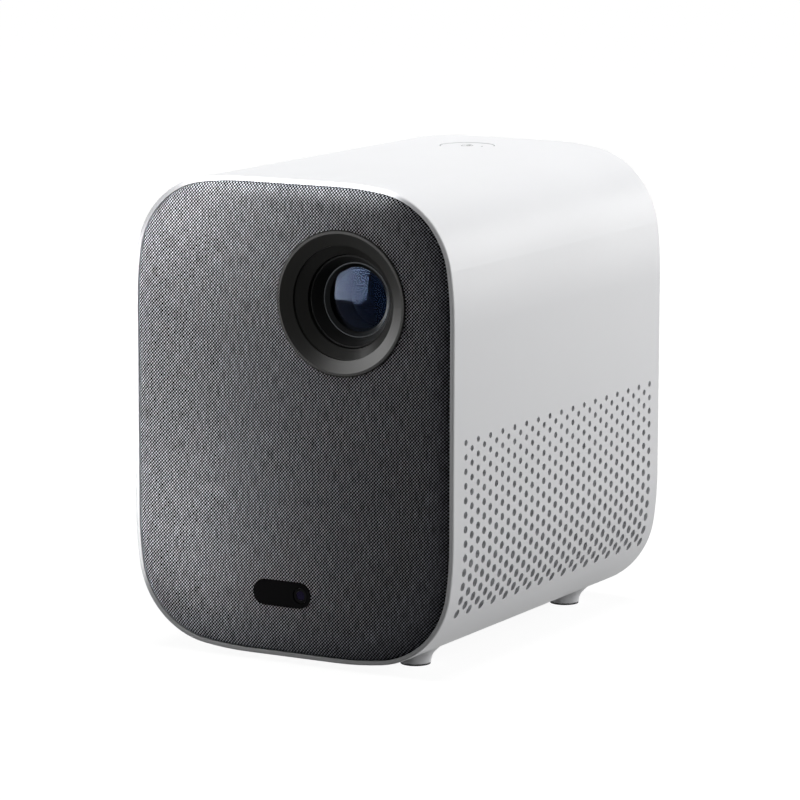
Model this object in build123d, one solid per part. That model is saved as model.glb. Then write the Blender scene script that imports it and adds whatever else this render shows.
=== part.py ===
from build123d import *
import math
import os

# Compact home projector, in millimetres. The origin is on the floor under the middle of the body,
# the lens looks along -Y, the vents are on the sides at -X and +X, and +Z is up.

# Body sleeve
body_width = 115.0
body_height = 150.5
body_depth = 143.7
corner_lead_radius = 113.2
corner_lead_angle = 8.31
corner_radius = 28.36
shell_wall = 2.2
rim_wall = 1.5
rebate_depth = 6.0
front_edge_radius = 0.6
rim_inner_radius = 0.25
rear_edge_radius = 1.2

# Vent holes, staggered over both sides and round the lower corners, wider from row to row downward
vent_top_diameter = 1.9
vent_low_diameter = 2.9
vent_column_pitch = 4.0
vent_row_pitch = 4.5
vent_columns = 33
vent_rows = 13
vent_top_drop = 3.1

# Feet
foot_clearance = 2.0
foot_inset_x = 24.5
foot_inset_y = 20.65
foot_radius = 4.9
foot_flare = 5.2
foot_flare_angle = 45.0
foot_skirt = 6.0
pad_thickness = 0.6
pad_inset = 0.15
foot_boss_radius = 5.0
foot_boss_height = 6.0
foot_socket_radius = 4.0
foot_head_recess = 1.9

# Fasteners, one screw size for the case and one for the boards
screw_radius = 1.45
screw_head_radius = 2.7
screw_head_height = 1.5
small_screw_radius = 0.95
small_head_radius = 1.8
small_head_height = 1.1
screw_clearance = 0.15
thread_clearance = 0.05
screw_bite = 9.0
screw_tip_gap = 1.0
drive_width = 0.7
drive_margin = 0.5
drive_depth = 0.8
cut_over = 1.0

# Front panel and its cloth
panel_gap = 0.15
fabric_thickness = 0.6
fabric_proud = 1.0
fabric_wrap = 3.6
edge_slope_width = 8.0
edge_slope_drop = 0.8
edge_slope_steps = 4
panel_plate = 3.0
panel_side = 2.0
tab_width = 16.0
tab_length = 6.0
tab_thickness = 1.4
tab_clearance = 0.25
side_tab_rise = 15.0

# Lens bezel, set into the front panel
lens_offset_x = 18.5
lens_offset_z = 38.0
bezel_radius = 22.8
bezel_lip_proud = 0.5
bezel_lip_chamfer = 0.4
bezel_lip_width = 1.2
bezel_tube_radius = 21.5
bezel_fit = 0.12
bezel_cone_radius = 17.8
bezel_cone_depth = 1.8
bezel_step = 1.2
bezel_slope_depth = 5.6
bezel_depth = 13.0
bezel_bore_gap = 0.3

# Focus barrel, its glass and the tube that it slides in
barrel_radius = 16.0
barrel_relief = 1.6
barrel_setback = 6.7
barrel_lip = 0.5
barrel_length = 38.0
barrel_bore = 9.0
hood_length = 7.4
hood_depth = 3.6
glass_radius = 11.0
glass_edge = 3.3
glass_dome = 0.9
ring_height = 1.35
ring_wall = 0.7
ring_overlap = 0.9
ring_lift = 0.3
element_edge = 3.0
element_dome = 1.2
element_places = (18.0, 30.0)
running_clearance = 0.05
seat_clearance = 0.05
focus_travel = 1.0
tube_wall = 3.0
tube_gap = 0.6
tube_flange = 22.0
tube_flange_plate = 3.0
tube_screw_place = 18.0

# Focus drive
gear_module = 0.6
ring_teeth = 72
pinion_teeth = 15
pressure_angle = 20.0
gear_addendum = 0.8
gear_dedendum = 1.05
gear_backlash = 0.12
gear_width = 5.6
gear_gap = 0.5
ring_setback = 7.5
pinion_shaft_radius = 1.0
motor_radius = 6.5
motor_length = 12.0
motor_boss_radius = 3.0
motor_ear_plate = 2.6
motor_ear_margin = 2.0

# Sensor window
window_length = 20.6
window_height = 8.2
window_offset_x = -2.8
window_offset_z = -54.9
window_thickness = 2.2
window_proud = 0.2
window_fit = 0.12
window_ledge = 1.2
camera_offset = 6.6
camera_radius = 2.35
camera_fit = 0.15
camera_setback = 0.35
camera_glass_radius = 1.5
camera_glass_thickness = 0.6
camera_glass_sink = 0.2
sensor_board_margin = 1.5
sensor_board_thickness = 1.2

# Power button and its board
button_radius = 9.0
button_gap = 0.2
button_y = 42.5
button_travel = 0.6
button_flange = 1.4
button_flange_thickness = 1.6
button_flange_gap = 0.2
button_sink = 0.1
button_stem_radius = 2.0
button_stem = 2.2
button_edge = 0.3
switch_size = 6.0
switch_height = 3.0
switch_gap = 0.1
button_board_thickness = 1.4
button_board_width = 11.0
button_post_x = 14.5
button_post_radius = 2.6

# Rear cover and its sockets
cover_wall = 2.2
cover_slope_drop = 1.6
slot_length = 52.0
slot_height = 2.2
slot_pitch = 4.5
slot_count = 12
slot_top_drop = 33.0
bay_depth = 4.0
bay_margin_x = 3.0
bay_margin_z = 2.6
bay_corner = 2.0
socket_fit = 0.25
socket_setback = 0.3
socket_spacing = 3.2
hdmi_width = 15.0
hdmi_height = 5.8
hdmi_length = 11.5
hdmi_shell = 0.5
hdmi_bevel = 1.4
usb_width = 14.0
usb_height = 6.6
usb_length = 14.0
usb_shell = 0.5
tongue_thickness = 1.4
tongue_margin = 1.6
socket_floor = 2.0
dc_width = 9.4
dc_height = 10.8
dc_length = 14.0
dc_barrel_radius = 4.2
dc_bore_radius = 3.2
dc_pin_radius = 1.2
dc_pin_setback = 1.5
audio_width = 7.0
audio_height = 6.2
audio_length = 14.0
audio_barrel_radius = 3.0
audio_bore_radius = 1.8
audio_bore_depth = 12.0
cover_screw_low = 34.0
cover_screw_high = 26.5
cover_head_recess = 2.0

# Chassis
tray_plate = 2.0
column_size = 8.0
front_column_setback = 34.0
deck_plate = 2.5
deck_overhang = 12.0
deck_lip = 6.0
boss_radius = 4.0
standoff_height = 3.0
standoff_radius = 3.0
board_thickness = 1.6
board_gap = 1.5
board_front_setback = 32.0
board_screw_inset = 4.5
board_rear_screw_setback = 23.0
shield_width = 32.0
shield_depth = 34.0
shield_height = 3.4
shield_wall = 0.4
shield_setback = 6.0

# Tripod insert, a 1/4 inch thread tapped into a brass bush
insert_radius = 5.0
insert_fit = 0.12
insert_flange = 2.0
insert_flange_height = 1.5
insert_height = 9.0
insert_bore_radius = 2.55
insert_bore_depth = 8.0

# Fan
fan_size = 60.0
fan_thickness = 20.0
fan_wall_gap = 7.5
fan_raise = 10.0
fan_duct_radius = 28.3
fan_hub_radius = 13.0
fan_spider = 3.0
fan_strut = 3.0
fan_pin_radius = 1.5
fan_hub_gap = 0.6
fan_hub_setback = 3.0
fan_blades = 7
fan_blade_bite = 1.0
fan_tip_gap = 1.1
fan_blade_pitch = 35.0
fan_blade_thickness = 1.2
fan_blade_chord = 14.6
fan_hole_place = 25.0
fan_hole_radius = 2.15
fan_rib = 2.0
fan_cradle = 8.0
fan_cradle_place = 22.0

# Heat sink and heat pipes
sink_length = 52.0
sink_fan_gap = 4.0
sink_base = 8.0
sink_drop = 5.0
sink_fin_height = 37.0
sink_fins = 14
sink_fin_pitch = 4.0
sink_fin = 1.0
sink_post_radius = 3.0
sink_post_inset = 6.0
pipe_radius = 3.0
pipe_spacing = 11.0
pipe_bend = 10.0
pipe_rise = 12.0
pipe_end_margin = 2.0
pipe_slot_gap = 1.0

# Optical engine
engine_left = 48.0
engine_right = 22.0
engine_depth = 48.0
engine_above = 25.0
engine_wall = 3.0
engine_post_radius = 3.5
lid_plate = 2.5
lens_port_radius = 13.0
cube_size = 16.0
cube_place = 33.0
prism_size = 24.0
prism_gap = 0.3
relay_radius = 9.0
relay_edge = 3.0
relay_dome = 1.5
relay_place = 19.0
relay_rim = 4.0
led_plate = 4.0
led_width = 20.0
led_emitter_radius = 3.0
led_emitter_height = 0.7
led_fin = 1.2
led_fin_pitch = 3.76
led_fins = 6
led_fin_height = 4.0
collimator_radius = 7.9
collimator_fit = 0.1
collimator_edge = 1.6
collimator_dome = 2.2
collimator_inset = 1.2
chip_width = 22.0
chip_height = 16.0
chip_depth = 3.2
chip_fit = 1.0
chip_board_width = 40.0
chip_board_height = 34.0
chip_sink_width = 26.0
chip_sink_height = 22.0
chip_sink_rise = 4.0
chip_sink_base = 3.0
chip_sink_fin_height = 13.0
chip_sink_fins = 7
chip_sink_fin = 1.2
connector_width = 15.0
connector_height = 4.0
connector_depth = 3.0
flex_width = 12.0
flex_thickness = 0.4
flex_bend = 4.0
flex_straight = 4.0
flex_rise = 5.0
flex_setback = 10.0
flex_slot = 4.0

# Speakers, two alike
speaker_offset_x = 27.0
speaker_drop = 20.0
speaker_radius = 20.0
speaker_opening = 15.5
speaker_flange = 2.0
speaker_rim = 3.0
basket_depth = 12.0
basket_back_radius = 13.4
basket_wall = 1.4
coil_radius = 7.0
coil_wall = 0.5
coil_gap = 0.6
coil_length = 8.0
cone_radius = 14.6
cone_wall = 0.7
cone_front = 1.4
cone_depth = 5.6
cap_rise = 1.5
surround_gap = 0.35
surround_wall = 0.5
surround_rise = 1.0
magnet_radius = 13.0
magnet_length = 9.0
magnet_floor = 2.0
grille_bar = 2.0

# Dust screens and antennas
screen_gap = 0.15
screen_thickness = 1.0
screen_margin = 3.0
screen_reach = 17.0
antenna_height = 30.0
antenna_thickness = 1.0
antenna_drop = 2.0

# Places worked out from the sizes above
half_width = body_width / 2
half_depth = body_depth / 2
z_bottom = foot_clearance
z_top = z_bottom + body_height
z_mid = z_bottom + body_height / 2
lead = math.radians(corner_lead_angle)
corner_reach = (corner_lead_radius * (1 - math.cos(lead) + math.sin(lead))
                + corner_radius * (math.cos(lead) - math.sin(lead)))
y_front = -half_depth
y_ledge_front = y_front + rebate_depth
y_ledge_rear = half_depth - rebate_depth
y_cloth = y_front - fabric_proud
y_panel = y_cloth + fabric_thickness
y_panel_back = y_panel + panel_plate
y_lip = y_cloth - bezel_lip_proud
y_rear = half_depth + fabric_proud + bezel_lip_proud
y_cover_inside = y_rear - cover_wall
y_bay = y_rear - bay_depth
panel_inset = rim_wall + panel_gap
lens_x = lens_offset_x
lens_z = z_mid + lens_offset_z
foot_x = half_width - foot_inset_x
foot_y = half_depth - foot_inset_y
foot_places = [(sx * foot_x, sy * foot_y) for sx in (-1, 1) for sy in (-1, 1)]
screw_hole = screw_radius + screw_clearance
pilot_hole = screw_radius + thread_clearance
small_hole = small_screw_radius + screw_clearance
small_pilot = small_screw_radius + thread_clearance
z_tray = z_bottom + foot_boss_height
z_tray_top = z_tray + tray_plate
z_board = z_tray_top + standoff_height
z_board_top = z_board + board_thickness
z_fan = z_tray_top + fan_raise
z_fan_top = z_fan + fan_size
z_deck = z_fan_top + fan_rib
z_deck_top = z_deck + deck_plate

os.makedirs("parts", exist_ok=True)


def on_y(y):
    """The plane square to Y at y, whose own axes are X and Z."""
    return Plane((0, y, 0), x_dir=(1, 0, 0), z_dir=(0, -1, 0))


def prism(face, y0, y1):
    """A face drawn in X and Z, run from y0 to y1."""
    return extrude(on_y(y0) * face, amount=y1 - y0, dir=(0, 1, 0))


def disc(x, z, radius, y0, y1):
    """A round bar along Y."""
    return prism(Pos(x, z) * Circle(radius), y0, y1)


def bar(y, z, radius, x0, x1):
    """A round bar along X."""
    upright = Cylinder(radius, x1 - x0, align=(Align.CENTER, Align.CENTER, Align.MIN))
    return Plane((x0, y, z), z_dir=(1, 0, 0)) * upright


def post(x, y, radius, z0, z1):
    """A round bar along Z."""
    upright = Cylinder(radius, z1 - z0, align=(Align.CENTER, Align.CENTER, Align.MIN))
    return Pos(x, y, z0) * upright


def block(x0, x1, y0, y1, z0, z1):
    """A plain box given by its six sides."""
    middle = Pos((x0 + x1) / 2, (y0 + y1) / 2, (z0 + z1) / 2)
    return middle * Box(x1 - x0, y1 - y0, z1 - z0)


def slab(x, z, width, height, y0, y1):
    """A plain box centred in X and Z, from y0 to y1."""
    return block(x - width / 2, x + width / 2, y0, y1, z - height / 2, z + height / 2)


def stack(x, y, width, depth, z0, z1):
    """A plain box centred in X and Y, from z0 to z1."""
    return block(x - width / 2, x + width / 2, y - depth / 2, y + depth / 2, z0, z1)


def spun(face, origin, axis):
    """A face of (radius, distance along the axis) turned round that axis."""
    along = Vector(*axis)
    across = Vector(0, 1, 0) if abs(along.X) > 0.5 else Vector(1, 0, 0)
    plane = Plane(origin, x_dir=across, z_dir=across.cross(along))
    return revolve(plane * face, axis=Axis(origin, axis))


def turned(points, origin, axis=(0, 1, 0)):
    """A turned piece from the corners of its half section."""
    return spun(make_face(Polyline(*points, close=True)), origin, axis)


def dome(radius, edge, front, back, origin, axis):
    """A lens of one edge thickness, with a domed or flat face at each end."""
    def cap(rise, base, sense):
        if rise == 0:
            return Line((0, base), (radius, base))
        ball = (radius ** 2 + rise ** 2) / (2 * rise)
        sweep = math.degrees(math.asin(radius / ball))
        centre = base + sense * (rise - ball)
        return CenterArc((0, centre), ball, sense * 90, -sense * sweep)
    rim = Line((radius, 0), (radius, edge))
    core = Line((0, edge + back), (0, -front))
    return spun(make_face([cap(front, 0, -1), rim, cap(back, edge, 1), core]), origin, axis)


def outline(inset=0.0):
    """The body's section: each corner is one tight arc between two long lead arcs."""
    half_w = half_width - inset
    half_h = body_height / 2 - inset
    long_r = corner_lead_radius - inset
    tight_r = corner_radius - inset
    reach = corner_reach - inset
    edges = []
    ends = []
    for quarter, (sx, sz) in enumerate(((1, 1), (-1, 1), (-1, -1), (1, -1))):
        start = 90 * quarter
        u = Vector(math.cos(math.radians(start)), math.sin(math.radians(start)))
        v = Vector(-u.Y, u.X)
        into = u * math.cos(lead) + v * math.sin(lead)
        away = u * math.sin(lead) + v * math.cos(lead)
        corner = Vector(sx * half_w, z_mid + sz * half_h)
        centre_in = corner - u * long_r - v * reach
        centre_mid = centre_in + into * (long_r - tight_r)
        centre_out = centre_mid - away * (long_r - tight_r)
        edges.append(CenterArc(centre_in, long_r, start, corner_lead_angle))
        edges.append(CenterArc(centre_mid, tight_r, start + corner_lead_angle, 90 - 2 * corner_lead_angle))
        edges.append(CenterArc(centre_out, long_r, start + 90 - corner_lead_angle, corner_lead_angle))
        ends.append((centre_in + u * long_r, centre_out + v * long_r))
    for quarter in range(4):
        edges.append(Line(ends[quarter][1], ends[(quarter + 1) % 4][0]))
    return make_face(edges)


def pillow(inset, y_face, y_back, slope_drop):
    """A block of the body's outline whose flat face eases back towards its edge."""
    into = 1 if y_back > y_face else -1
    sections = []
    for step in range(edge_slope_steps + 1):
        share = step / edge_slope_steps
        drop = slope_drop * share ** 2
        sections.append((inset + edge_slope_width * (1 - share), y_face + into * drop))
    sections.append((inset, y_back))
    return loft([on_y(y) * outline(i) for i, y in sections], ruled=True)


def edges_at(solid, y):
    """The edges that lie in one plane square to Y."""
    return solid.edges().filter_by_position(Axis.Y, y - 0.01, y + 0.01)


def drop_along_side(arc_length):
    """The height of a point that lies this far down the side from the top vent row."""
    z_start = z_mid - vent_top_drop
    straight = z_start - (z_bottom + corner_reach)
    z_bend = z_start - straight
    if arc_length <= straight:
        return z_start - arc_length
    past = arc_length - straight
    if past <= corner_lead_radius * lead:
        return z_bend - corner_lead_radius * math.sin(past / corner_lead_radius)
    turn = lead + (past - corner_lead_radius * lead) / corner_radius
    eased = corner_lead_radius * math.sin(lead)
    return z_bend - eased - corner_radius * (math.sin(turn) - math.sin(lead))


def screw(length, place, axis, small=False):
    """A case or board screw whose head sits on place, with its shank running along the axis."""
    radius = small_screw_radius if small else screw_radius
    head_radius = small_head_radius if small else screw_head_radius
    head_height = small_head_height if small else screw_head_height
    points = [(0, -head_height), (head_radius, -head_height), (head_radius, 0),
              (radius, 0), (radius, length), (0, length)]
    cross_length = 2 * (head_radius - drive_margin)
    cross = Box(cross_length, drive_width, drive_depth) + Box(drive_width, cross_length, drive_depth)
    head_top = Plane(place, z_dir=axis) * Pos(0, 0, drive_depth / 2 - head_height)
    return turned(points, place, axis) - head_top * cross


def save(name, *solids):
    """Writes one node, as one solid or as a group of separate solids."""
    shape = solids[0] if len(solids) == 1 else Compound(children=list(solids))
    export_step(shape, f"parts/{name}.step")


# Sleeve: the white tube, with a rebate at each end, screw bosses over the feet and its vents
skin = prism(outline(), y_front, half_depth)
tube = fillet(edges_at(skin, y_front), front_edge_radius)
tube = fillet(edges_at(tube, half_depth), rear_edge_radius)
tube -= prism(outline(shell_wall), y_front, half_depth)
tube -= prism(outline(rim_wall), y_front, y_ledge_front)
tube -= prism(outline(rim_wall), y_ledge_rear, half_depth)
rim_face = tube.faces().sort_by(Axis.Y)[0]
tube = fillet(rim_face.inner_wires()[0].edges(), rim_inner_radius)
for x, y in foot_places:
    tube += post(x, y, foot_boss_radius, z_bottom, z_tray) & skin
    tube -= post(x, y, screw_hole, z_bottom - cut_over, z_tray + cut_over)
z_button_board = z_top - shell_wall - button_flange_gap - button_flange_thickness - button_stem
z_button_board -= switch_gap + button_travel + switch_height
button_posts = [(sx * button_post_x, button_y) for sx in (-1, 1)]
for x, y in button_posts:
    tube += post(x, y, button_post_radius, z_button_board, z_top - shell_wall / 2)
    tube -= post(x, y, small_pilot, z_button_board - cut_over, z_top - shell_wall)
tube -= post(0, button_y, button_radius + button_gap, z_top - 2 * shell_wall, z_top + cut_over)
tube -= post(0, 0, insert_radius + insert_fit, z_bottom - cut_over, z_bottom + 2 * shell_wall)
vents = []
for column in range(vent_columns):
    y = (column - (vent_columns - 1) / 2) * vent_column_pitch
    odd = column % 2
    for row in range(vent_rows - odd):
        rows_down = row + odd / 2
        z = drop_along_side(rows_down * vent_row_pitch)
        widened = (vent_low_diameter - vent_top_diameter) * rows_down / (vent_rows - 1)
        vents.append(bar(y, z, (vent_top_diameter + widened) / 2, -body_width, body_width))
sleeve = tube - vents
save("sleeve", sleeve)

# Feet: flared posts screwed up into the chassis, each with a rubber pad under it
feet = []
pads = []
foot_screws = []
flare_middle = (foot_radius + foot_flare, pad_thickness)
flare = CenterArc(flare_middle, foot_flare, 180, -foot_flare_angle)
skirt_end = flare @ 1 + (flare % 1) * foot_skirt
foot_half = make_face([
    Line((0, pad_thickness), (foot_radius, pad_thickness)),
    flare,
    Line(flare @ 1, skirt_end),
    Line(skirt_end, (0, skirt_end.Y)),
    Line((0, skirt_end.Y), (0, pad_thickness)),
])
z_head = pad_thickness + foot_head_recess
for x, y in foot_places:
    foot = spun(foot_half, (x, y, 0), (0, 0, 1)) - skin
    foot -= post(x, y, screw_hole, 0, z_tray)
    foot -= post(x, y, screw_head_radius + screw_clearance, 0, z_head)
    feet.append(foot.solids().sort_by(Axis.Z)[0])
    pads.append(post(x, y, foot_radius - pad_inset, 0, pad_thickness))
    foot_screws.append(screw(z_tray_top + screw_bite - z_head, (x, y, z_head), (0, 0, 1)))
save("feet", *feet)
save("foot_pads", *pads)
save("foot_screws", *foot_screws)

# Tripod insert: brass bush in the middle of the base
insert = turned([
    (0, insert_bore_depth), (insert_bore_radius, insert_bore_depth), (insert_bore_radius, 0),
    (insert_radius, 0), (insert_radius, shell_wall),
    (insert_radius + insert_flange, shell_wall),
    (insert_radius + insert_flange, shell_wall + insert_flange_height),
    (insert_radius, shell_wall + insert_flange_height), (insert_radius, insert_height), (0, insert_height),
], (0, 0, z_bottom), (0, 0, 1))
save("tripod_insert", insert)

# Front panel and the cloth stretched over it
window_x = window_offset_x
window_z = z_mid + window_offset_z


def stadium(grow):
    """The pill outline of the sensor window, in X and Z."""
    return Pos(window_x, window_z) * SlotOverall(window_length + 2 * grow, window_height + 2 * grow)


bezel_hole = bezel_tube_radius + bezel_fit
lens_hole = disc(lens_x, lens_z, bezel_hole, y_lip - cut_over, y_ledge_front + tab_length)
window_hole = prism(stadium(window_fit), y_lip - cut_over, y_cloth - window_proud + window_thickness)
y_wrap = y_front + fabric_wrap
panel_block = pillow(panel_inset + fabric_thickness, y_panel, y_wrap, edge_slope_drop)
cloth = pillow(panel_inset, y_cloth, y_wrap, edge_slope_drop) - panel_block - lens_hole - window_hole
save("front_fabric", cloth)

panel = panel_block + prism(outline(panel_inset), y_wrap, y_ledge_front)
panel -= prism(outline(panel_inset + fabric_thickness + panel_side), y_panel_back, y_ledge_front)
z_tab = shell_wall + tab_clearance
tab_y0 = y_ledge_front - tab_thickness
tab_y1 = y_ledge_front + tab_length
for side in (-1, 1):
    z0 = z_mid + side * (body_height / 2 - z_tab)
    z1 = z0 - side * tab_thickness
    panel += block(-tab_width / 2, tab_width / 2, tab_y0, tab_y1, min(z0, z1), max(z0, z1))
    x0 = side * (half_width - z_tab)
    x1 = x0 - side * tab_thickness
    tab_low = z_mid + side_tab_rise - tab_width / 2
    panel += block(min(x0, x1), max(x0, x1), tab_y0, tab_y1, tab_low, tab_low + tab_width)
panel -= lens_hole
panel -= window_hole
panel -= prism(stadium(-window_ledge), y_lip, y_ledge_front)
speaker_z = z_mid - speaker_drop
for side in (-1, 1):
    x = side * speaker_offset_x
    hole = disc(x, speaker_z, speaker_opening, y_lip, y_ledge_front)
    hole -= slab(x, speaker_z, 2 * speaker_radius, grille_bar, y_lip, y_ledge_front)
    hole -= slab(x, speaker_z, grille_bar, 2 * speaker_radius, y_lip, y_ledge_front)
    panel -= hole
save("front_panel", panel)

# Lens bezel: a lipped ring that steps down to the barrel
hood_bore = barrel_radius - barrel_relief + bezel_bore_gap
bezel = turned([
    (bezel_radius, bezel_lip_proud), (bezel_radius, bezel_lip_chamfer),
    (bezel_radius - bezel_lip_chamfer, 0), (bezel_radius - bezel_lip_width, 0),
    (bezel_cone_radius, bezel_cone_depth), (bezel_cone_radius, bezel_cone_depth + bezel_step),
    (hood_bore, bezel_slope_depth), (hood_bore, bezel_depth),
    (bezel_tube_radius, bezel_depth), (bezel_tube_radius, bezel_lip_proud),
], (lens_x, y_lip, lens_z))
save("lens_bezel", bezel)

# Focus barrel with its glass: slides along the lens axis
y_barrel = y_lip + barrel_setback
hood_end = hood_depth + ring_height
ring_bore = glass_radius + ring_wall
barrel_front = barrel_radius - barrel_relief
barrel = turned([
    (barrel_front, 0), (barrel_front, hood_length), (barrel_radius, hood_length),
    (barrel_radius, barrel_length), (barrel_bore + seat_clearance, barrel_length),
    (barrel_bore + seat_clearance, hood_end + glass_edge),
    (glass_radius + seat_clearance, hood_end + glass_edge),
    (glass_radius + seat_clearance, hood_end), (ring_bore + seat_clearance, hood_end),
    (ring_bore + seat_clearance, hood_depth), (barrel_front - barrel_lip, 0),
], (lens_x, y_barrel, lens_z))
save("focus_barrel", barrel)
retaining_ring = turned([
    (glass_radius, hood_end), (ring_bore, hood_end), (ring_bore, hood_depth),
    (ring_bore - ring_wall / 2, hood_depth), (glass_radius - ring_overlap, hood_end - ring_lift),
], (lens_x, y_barrel, lens_z))
save("retaining_ring", retaining_ring)
glass_seat = (lens_x, y_barrel + hood_end, lens_z)
save("front_lens", dome(glass_radius, glass_edge, glass_dome, 0, glass_seat, (0, 1, 0)))
rear_lenses = []
for place in element_places:
    element_seat = (lens_x, y_barrel + place, lens_z)
    rear_lenses.append(dome(barrel_bore, element_edge, element_dome, element_dome, element_seat, (0, 1, 0)))
save("rear_lenses", *rear_lenses)

# Lens tube: carries the barrel, the focus ring and the motor, and bolts to the engine
y_tube = y_lip + bezel_depth + tube_gap
y_engine = y_barrel + barrel_length + focus_travel + tube_flange_plate
y_axis = y_engine + engine_depth / 2
tube_bore = barrel_radius + running_clearance
tube_radius = tube_bore + tube_wall
ring_pitch_radius = gear_module * ring_teeth / 2
pinion_pitch_radius = gear_module * pinion_teeth / 2
pinion_x = lens_x + ring_pitch_radius + pinion_pitch_radius
y_ring = y_tube + ring_setback
y_ear = y_ring + gear_width + gear_gap
ear_half = motor_radius + motor_ear_margin
lens_tube = disc(lens_x, lens_z, tube_radius, y_tube, y_engine)
lens_tube += slab(lens_x, lens_z, 2 * tube_flange, 2 * tube_flange, y_engine - tube_flange_plate, y_engine)
ear_width = pinion_x + ear_half - lens_x
lens_tube += slab(lens_x + ear_width / 2, lens_z, ear_width, 2 * ear_half, y_ear, y_ear + motor_ear_plate)
lens_tube -= disc(lens_x, lens_z, tube_bore, y_tube, y_engine)
lens_tube -= disc(pinion_x, lens_z, motor_boss_radius + seat_clearance, y_ear, y_ear + motor_ear_plate)
tube_screws = []
for sx in (-1, 1):
    for sz in (-1, 1):
        tube_screws.append((lens_x + sx * tube_screw_place, lens_z + sz * tube_screw_place))
for x, z in tube_screws:
    lens_tube -= disc(x, z, screw_hole, y_engine - tube_flange_plate, y_engine)
save("lens_tube", lens_tube)


def gear_face(teeth):
    """An involute gear outline with one tooth on the local x axis."""
    pitch_r = gear_module * teeth / 2
    base_r = pitch_r * math.cos(math.radians(pressure_angle))
    tip_r = pitch_r + gear_addendum * gear_module
    root_r = pitch_r - gear_dedendum * gear_module
    start_r = max(base_r, root_r)

    def involute(r):
        lean = math.acos(min(1, base_r / r))
        return math.tan(lean) - lean

    half_tooth = math.pi / (2 * teeth) - gear_backlash / (2 * pitch_r)
    radii = [start_r + (tip_r - start_r) * step / 3 for step in range(4)]
    if root_r < start_r:
        radii.insert(0, root_r)
    flank = [(r, half_tooth + involute(pitch_r) - involute(max(r, base_r))) for r in radii]
    points = []
    for tooth in range(teeth):
        middle = 2 * math.pi * tooth / teeth
        rising = [(r, middle - spread) for r, spread in flank]
        falling = [(r, middle + spread) for r, spread in reversed(flank)]
        points += [(r * math.cos(t), r * math.sin(t)) for r, t in rising + falling]
    return make_face(Polyline(*points, close=True))


# Focus drive: motor, pinion and the toothed ring round the lens tube
focus_ring = prism(Pos(lens_x, lens_z) * gear_face(ring_teeth), y_ring, y_ring + gear_width)
focus_ring -= disc(lens_x, lens_z, tube_radius + running_clearance, y_ring, y_ring + gear_width)
save("focus_ring", focus_ring)
pinion = prism(Pos(pinion_x, lens_z) * gear_face(pinion_teeth), y_ring, y_ring + gear_width)
pinion -= disc(pinion_x, lens_z, pinion_shaft_radius + running_clearance, y_ring, y_ring + gear_width)
save("focus_pinion", pinion)
y_motor = y_ear + motor_ear_plate
motor = disc(pinion_x, lens_z, motor_radius, y_motor, y_motor + motor_length)
motor += disc(pinion_x, lens_z, motor_boss_radius, y_ear, y_motor)
motor += disc(pinion_x, lens_z, pinion_shaft_radius, y_ring, y_ear)
save("focus_motor", motor)

# Sensor window with the small camera behind its right end
y_window = y_cloth - window_proud
camera_x = window_x + camera_offset
window = prism(stadium(0), y_window, y_window + window_thickness)
window -= disc(camera_x, window_z, camera_radius + camera_fit, y_window, y_window + window_thickness)
save("sensor_window", window)
sensor_width = window_length + 2 * sensor_board_margin
sensor_height = window_height + 2 * sensor_board_margin
y_sensor_back = y_panel_back + sensor_board_thickness
sensor = slab(window_x, window_z, sensor_width, sensor_height, y_panel_back, y_sensor_back)
y_camera = y_window + camera_setback
sensor += disc(camera_x, window_z, camera_radius, y_camera, y_panel_back)
sensor -= disc(camera_x, window_z, camera_glass_radius, y_camera, y_camera + camera_glass_thickness)
save("sensor_module", sensor)
y_camera_glass = y_camera + camera_glass_thickness
camera_glass_edge = camera_glass_radius - seat_clearance
camera_glass = disc(camera_x, window_z, camera_glass_edge, y_camera + camera_glass_sink, y_camera_glass)
save("sensor_glass", camera_glass)

# Power button: a sprung cap over a switch on its own small board
z_cap = z_top - button_sink
z_flange = z_top - shell_wall - button_flange_gap
z_flange_bottom = z_flange - button_flange_thickness
button = turned([
    (0, z_flange_bottom - button_stem), (button_stem_radius, z_flange_bottom - button_stem),
    (button_stem_radius, z_flange_bottom), (button_radius + button_flange, z_flange_bottom),
    (button_radius + button_flange, z_flange), (button_radius, z_flange),
    (button_radius, z_cap - button_edge), (button_radius - button_edge, z_cap), (0, z_cap),
], (0, button_y, 0), (0, 0, 1))
save("power_button", button)
z_under_board = z_button_board - button_board_thickness
button_board_length = 2 * (button_post_x + button_post_radius)
button_board = stack(0, button_y, button_board_length, button_board_width, z_under_board, z_button_board)
button_board += stack(0, button_y, switch_size, switch_size, z_button_board, z_button_board + switch_height)
button_screws = []
button_screw_length = button_board_thickness + switch_height
for x, y in button_posts:
    button_board -= post(x, y, small_hole, z_under_board, z_button_board)
    button_screws.append(screw(button_screw_length, (x, y, z_under_board), (0, 0, 1), small=True))
save("button_board", button_board)
save("button_screws", *button_screws)

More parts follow.
